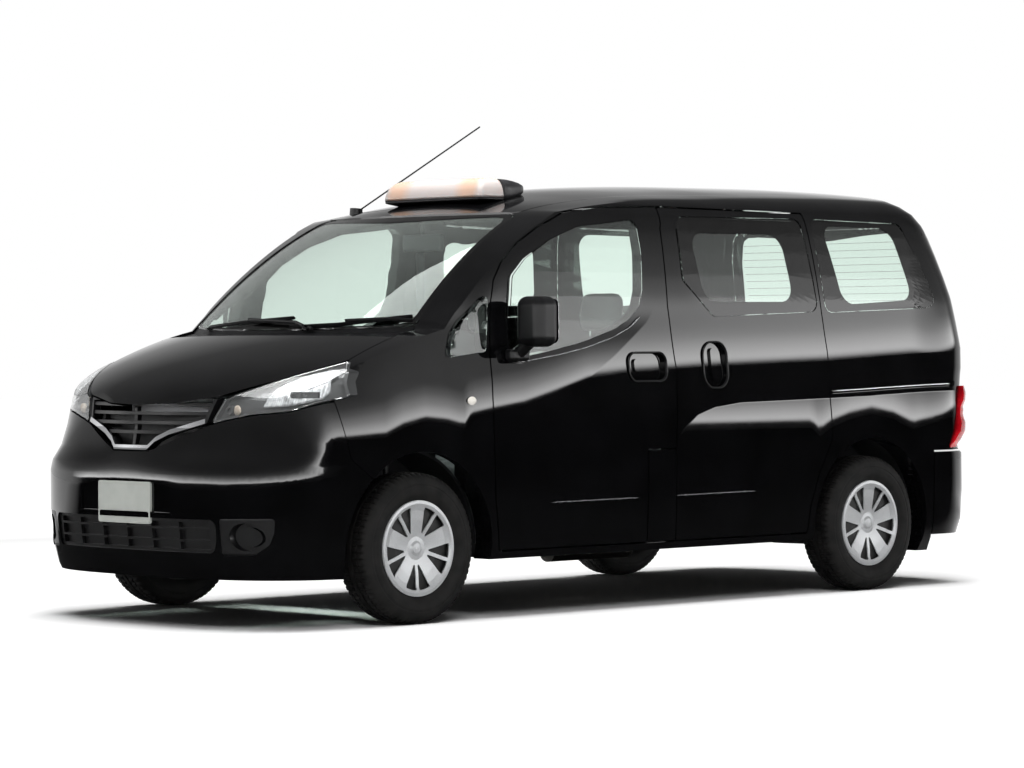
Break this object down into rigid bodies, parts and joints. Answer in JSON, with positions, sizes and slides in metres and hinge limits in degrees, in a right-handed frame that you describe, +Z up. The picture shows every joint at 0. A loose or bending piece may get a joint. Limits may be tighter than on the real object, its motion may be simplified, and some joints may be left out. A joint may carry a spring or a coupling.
{
  "type": "high-roof taxi cab, compact van body",
  "caption": "Compact high-roof van taxi with hinged front doors, sliding rear doors, lift-up tailgate, steered front wheels and a lit sign on the roof.",
  "frame": {"origin": "on the ground, at the centre of the overall length and width", "axes": "+Z up, -Y the way the cab drives, +X to its left side"},
  "size_m": [2.016, 4.3939, 2.096],
  "materials": {
    "black_paint": "glossy black paint",
    "clear_glass": "clear safety glass with a slight green tint",
    "lamp_lens": "clear moulded lens over a silver reflector",
    "red_lens": "red moulded lens",
    "tyre_rubber": "black rubber",
    "silver_wheel": "silver painted wheel cover on a steel rim",
    "sign_lens": "translucent white plastic",
    "sign_base": "dark grey plastic",
    "black_plastic": "grained black plastic",
    "chrome_trim": "bright chrome strip",
    "lamp_reflector": "silvered lamp reflector in a grey bezel",
    "dark_trim": "dark grey moulded plastic",
    "seat_cloth": "grey woven cloth",
    "engine_metal": "bare castings",
    "chassis_black": "satin black underbody coating",
    "exhaust_steel": "bare steel pipe",
    "tank_plastic": "black moulded plastic"
  },
  "bodies": {
    "body": {"antenna": "black_plastic", "body_side_left": "black_paint", "body_side_right": "black_paint", "cabin_mirror": "dark_trim", "cowl": "black_plastic", "dashboard": "dark_trim", "engine_block": "engine_metal", "exhaust": "exhaust_steel", "fender_left": "black_paint", "fender_right": "black_paint", "floor_pan": "chassis_black", "front_bumper": "black_paint", "front_seats": "seat_cloth", "front_suspension": "chassis_black", "fuel_tank": "tank_plastic", "grille": "black_plastic", "grille_trim": "chrome_trim", "headlamp_housings": "lamp_reflector", "headlamps": "lamp_lens", "lower_grille": "black_plastic", "rear_axle": "chassis_black", "rear_bumper": "black_paint", "rear_seat": "seat_cloth", "roof_panel": "black_paint", "roof_sign_base": "sign_base", "roof_sign_lens": "sign_lens", "side_glass": "clear_glass", "sliding_door_left": "black_paint", "sliding_door_right": "black_paint", "tail_lamps": "red_lens", "windscreen": "clear_glass", "wipers": "black_plastic"},
    "hood": {"hood": "black_paint"},
    "front_door_left": {"front_door_left": "black_paint", "door_glass_left": "clear_glass", "door_mirror_left": "black_plastic"},
    "front_door_right": {"front_door_right": "black_paint", "door_glass_right": "clear_glass", "door_mirror_right": "black_plastic"},
    "tailgate": {"tailgate": "black_paint", "tailgate_glass": "clear_glass", "tailgate_wiper": "black_plastic"},
    "steering_wheel": {"steering_wheel": "dark_trim"},
    "knuckle_left": {"knuckle_left": "chassis_black"},
    "knuckle_right": {"knuckle_right": "chassis_black"},
    "wheel_front_left": {"tyre_front_left": "tyre_rubber", "rim_front_left": "silver_wheel"},
    "wheel_front_right": {"tyre_front_right": "tyre_rubber", "rim_front_right": "silver_wheel"},
    "wheel_rear_left": {"tyre_rear_left": "tyre_rubber", "rim_rear_left": "silver_wheel"},
    "wheel_rear_right": {"tyre_rear_right": "tyre_rubber", "rim_rear_right": "silver_wheel"}
  },
  "joints": [
    {"name": "hood_hinge", "type": "hinge", "parent": "body", "child": "hood", "pos_m": [0, -1.38, 1.117], "axis": [-1, 0, 0], "range_deg": [0, 50]},
    {"name": "front_door_left_hinge", "type": "hinge", "parent": "body", "child": "front_door_left", "pos_m": [0.827, -0.93, 0.6], "axis": [0, 0, -1], "range_deg": [0, 65]},
    {"name": "front_door_right_hinge", "type": "hinge", "parent": "body", "child": "front_door_right", "pos_m": [-0.827, -0.93, 0.6], "axis": [0, 0, 1], "range_deg": [0, 65]},
    {"name": "tailgate_hinge", "type": "hinge", "parent": "body", "child": "tailgate", "pos_m": [0, 1.92345, 1.731], "axis": [1, 0, 0], "range_deg": [0, 85]},
    {"name": "steering", "type": "hinge", "parent": "body", "child": "steering_wheel", "pos_m": [-0.355, -0.64, 1.01], "axis": [0, 0.9063, 0.4226], "range_deg": [-528, 528]},
    {"name": "knuckle_left_pivot", "type": "hinge", "parent": "body", "child": "knuckle_left", "pos_m": [0.628, -1.37, 0.3], "axis": [0, 0, 1], "range_deg": [-33, 33]},
    {"name": "knuckle_right_pivot", "type": "hinge", "parent": "body", "child": "knuckle_right", "pos_m": [-0.628, -1.37, 0.3], "axis": [0, 0, 1], "range_deg": [-33, 33]},
    {"name": "wheel_front_left_spin", "type": "hinge", "parent": "knuckle_left", "child": "wheel_front_left", "pos_m": [0.745, -1.37, 0.3], "axis": [1, 0, 0], "continuous": true},
    {"name": "wheel_front_right_spin", "type": "hinge", "parent": "knuckle_right", "child": "wheel_front_right", "pos_m": [-0.745, -1.37, 0.3], "axis": [1, 0, 0], "continuous": true},
    {"name": "wheel_rear_left_spin", "type": "hinge", "parent": "body", "child": "wheel_rear_left", "pos_m": [0.755, 1.355, 0.3], "axis": [1, 0, 0], "continuous": true},
    {"name": "wheel_rear_right_spin", "type": "hinge", "parent": "body", "child": "wheel_rear_right", "pos_m": [-0.755, 1.355, 0.3], "axis": [1, 0, 0], "continuous": true}
  ],
  "couplings": [
    {"joint": "knuckle_left_pivot", "follows": "steering", "ratio": 0.0625},
    {"joint": "knuckle_right_pivot", "follows": "steering", "ratio": 0.0625}
  ]
}
